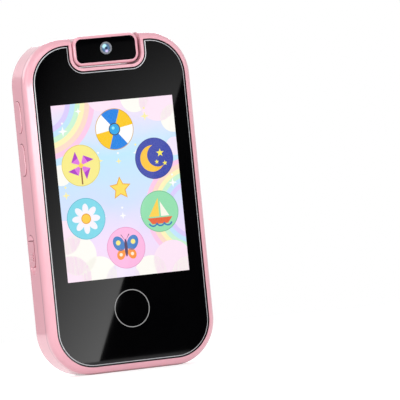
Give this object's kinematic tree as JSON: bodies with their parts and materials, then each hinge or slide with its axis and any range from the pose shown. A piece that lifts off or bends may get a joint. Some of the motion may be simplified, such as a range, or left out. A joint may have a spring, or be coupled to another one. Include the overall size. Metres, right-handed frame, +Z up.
{
  "type": "toy cell phone",
  "caption": "Toy phone for a child: pocket-size body with a colour screen, a camera head that flips over the top edge, side buttons and a rubber port cover.",
  "frame": {"origin": "middle of the bottom edge's flat, in the middle of the width and the depth", "axes": "+Z up along the phone's length, the screen faces -Y, +X to the right of the screen"},
  "size_m": [0.0587, 0.0144, 0.1088],
  "materials": {
    "case_pink": "satin",
    "panel_glitter": "gloss, with fine glitter in it",
    "glass_black": "polished, black behind",
    "adhesive": "matte",
    "screen": "polished",
    "white_plastic": "matte",
    "flex_film": "satin",
    "foam": "open foam",
    "copper_foil": "satin",
    "board_green": "solder mask",
    "chip_black": "matte",
    "steel": "bright",
    "battery_film": "satin foil",
    "tape": "matte",
    "wire_red": "satin",
    "wire_black": "satin",
    "led_white": "matte",
    "clear_plastic": "clear, polished",
    "window_black": "polished, black behind",
    "lens_glass": "coated, polished",
    "rubber_pink": "matte",
    "bush_plastic": "satin"
  },
  "bodies": {
    "handset": {"rear_case": "case_pink", "front_frame": "case_pink", "back_panel": "panel_glitter", "front_glass": "glass_black", "glass_adhesive": "adhesive", "screen_cell": "screen", "backlight": "white_plastic", "screen_flex": "flex_film", "screen_pads": "foam", "touch_key_foil": "copper_foil", "touch_key_foam": "foam", "main_board": "board_green", "board_chips": "chip_black", "board_connectors": "white_plastic", "card_slot": "steel", "memory_card": "chip_black", "side_switches": "chip_black", "usb_socket": "steel", "microphone": "steel", "battery": "battery_film", "battery_tape": "tape", "battery_lead": "wire_red", "speaker": "steel", "speaker_gasket": "foam", "speaker_lead": "wire_black", "flash_led": "led_white", "flash_lens": "clear_plastic", "case_screws": "steel", "board_screws": "steel", "strap_bar": "steel", "pivot_bushes": "bush_plastic", "friction_rings": "adhesive", "camera_lead": "wire_black", "cover_anchor": "rubber_pink"},
    "camera_head": {"head_front_shell": "case_pink", "head_rear_shell": "case_pink", "head_window": "window_black", "lens_ring": "chip_black", "camera_lens": "lens_glass", "camera_module": "chip_black", "camera_board": "board_green", "head_screws": "steel", "pivot_pins": "steel"},
    "upper_button": {"upper_button": "case_pink", "upper_switch_stem": "white_plastic"},
    "lower_button": {"lower_button": "case_pink", "lower_switch_stem": "white_plastic"},
    "port_cover": {"port_cover": "rubber_pink"}
  },
  "joints": [
    {"name": "camera_flip", "type": "hinge", "parent": "handset", "child": "camera_head", "pos_m": [0, 0, 0.1039], "axis": [-1, 0, 0], "range_deg": [0, 180]},
    {"name": "upper_button_press", "type": "slide", "parent": "handset", "child": "upper_button", "axis": [1, 0, 0], "range_m": [0, 0.0005], "stiffness_N_per_m": 600, "springref_m": -0.0005},
    {"name": "lower_button_press", "type": "slide", "parent": "handset", "child": "lower_button", "axis": [1, 0, 0], "range_m": [0, 0.0005], "stiffness_N_per_m": 600, "springref_m": -0.0005},
    {"name": "port_cover_open", "type": "hinge", "parent": "handset", "child": "port_cover", "pos_m": [-0.02867, 0, 0.0442], "axis": [0, 1, 0], "range_deg": [0, 90]}
  ]
}
